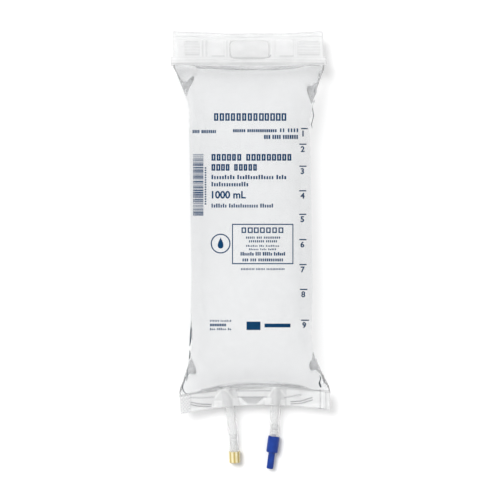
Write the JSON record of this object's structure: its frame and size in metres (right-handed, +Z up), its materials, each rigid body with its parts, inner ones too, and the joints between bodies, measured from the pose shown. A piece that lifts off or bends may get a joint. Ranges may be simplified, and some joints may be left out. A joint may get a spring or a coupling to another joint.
{
  "type": "iv fluid bag",
  "caption": "Clear film infusion bag, filled, lying on its back, with a slotted hanging header, a medication port and an outlet port closed by a pull-off protector.",
  "frame": {"origin": "on the table under the middle of the whole object's bounding box", "axes": "+Y towards the hanging header, +Z up from the table through the printed side, +X to the right seen from above"},
  "size_m": [0.1322, 0.3746, 0.0488],
  "materials": {
    "clear_film": "clear, slightly hazy soft film with embossed welds",
    "water": "clear, colourless liquid",
    "clear_tube": "clear flexible tube",
    "cream_rubber": "matt, moulded, fine ribs",
    "blue_plastic": "satin moulded plastic"
  },
  "bodies": {
    "bag": {"bag_film": "clear_film", "solution": "water", "medication_port_tube": "clear_tube", "medication_membrane_tube": "clear_tube", "injection_site": "cream_rubber", "administration_port_tube": "clear_tube", "administration_membrane_tube": "clear_tube"},
    "protector": {"port_protector": "blue_plastic"}
  },
  "joints": [
    {"name": "protector_pull", "type": "slide", "parent": "bag", "child": "protector", "axis": [-0.1301, -0.9915, 0], "range_m": [0, 0.03]}
  ]
}
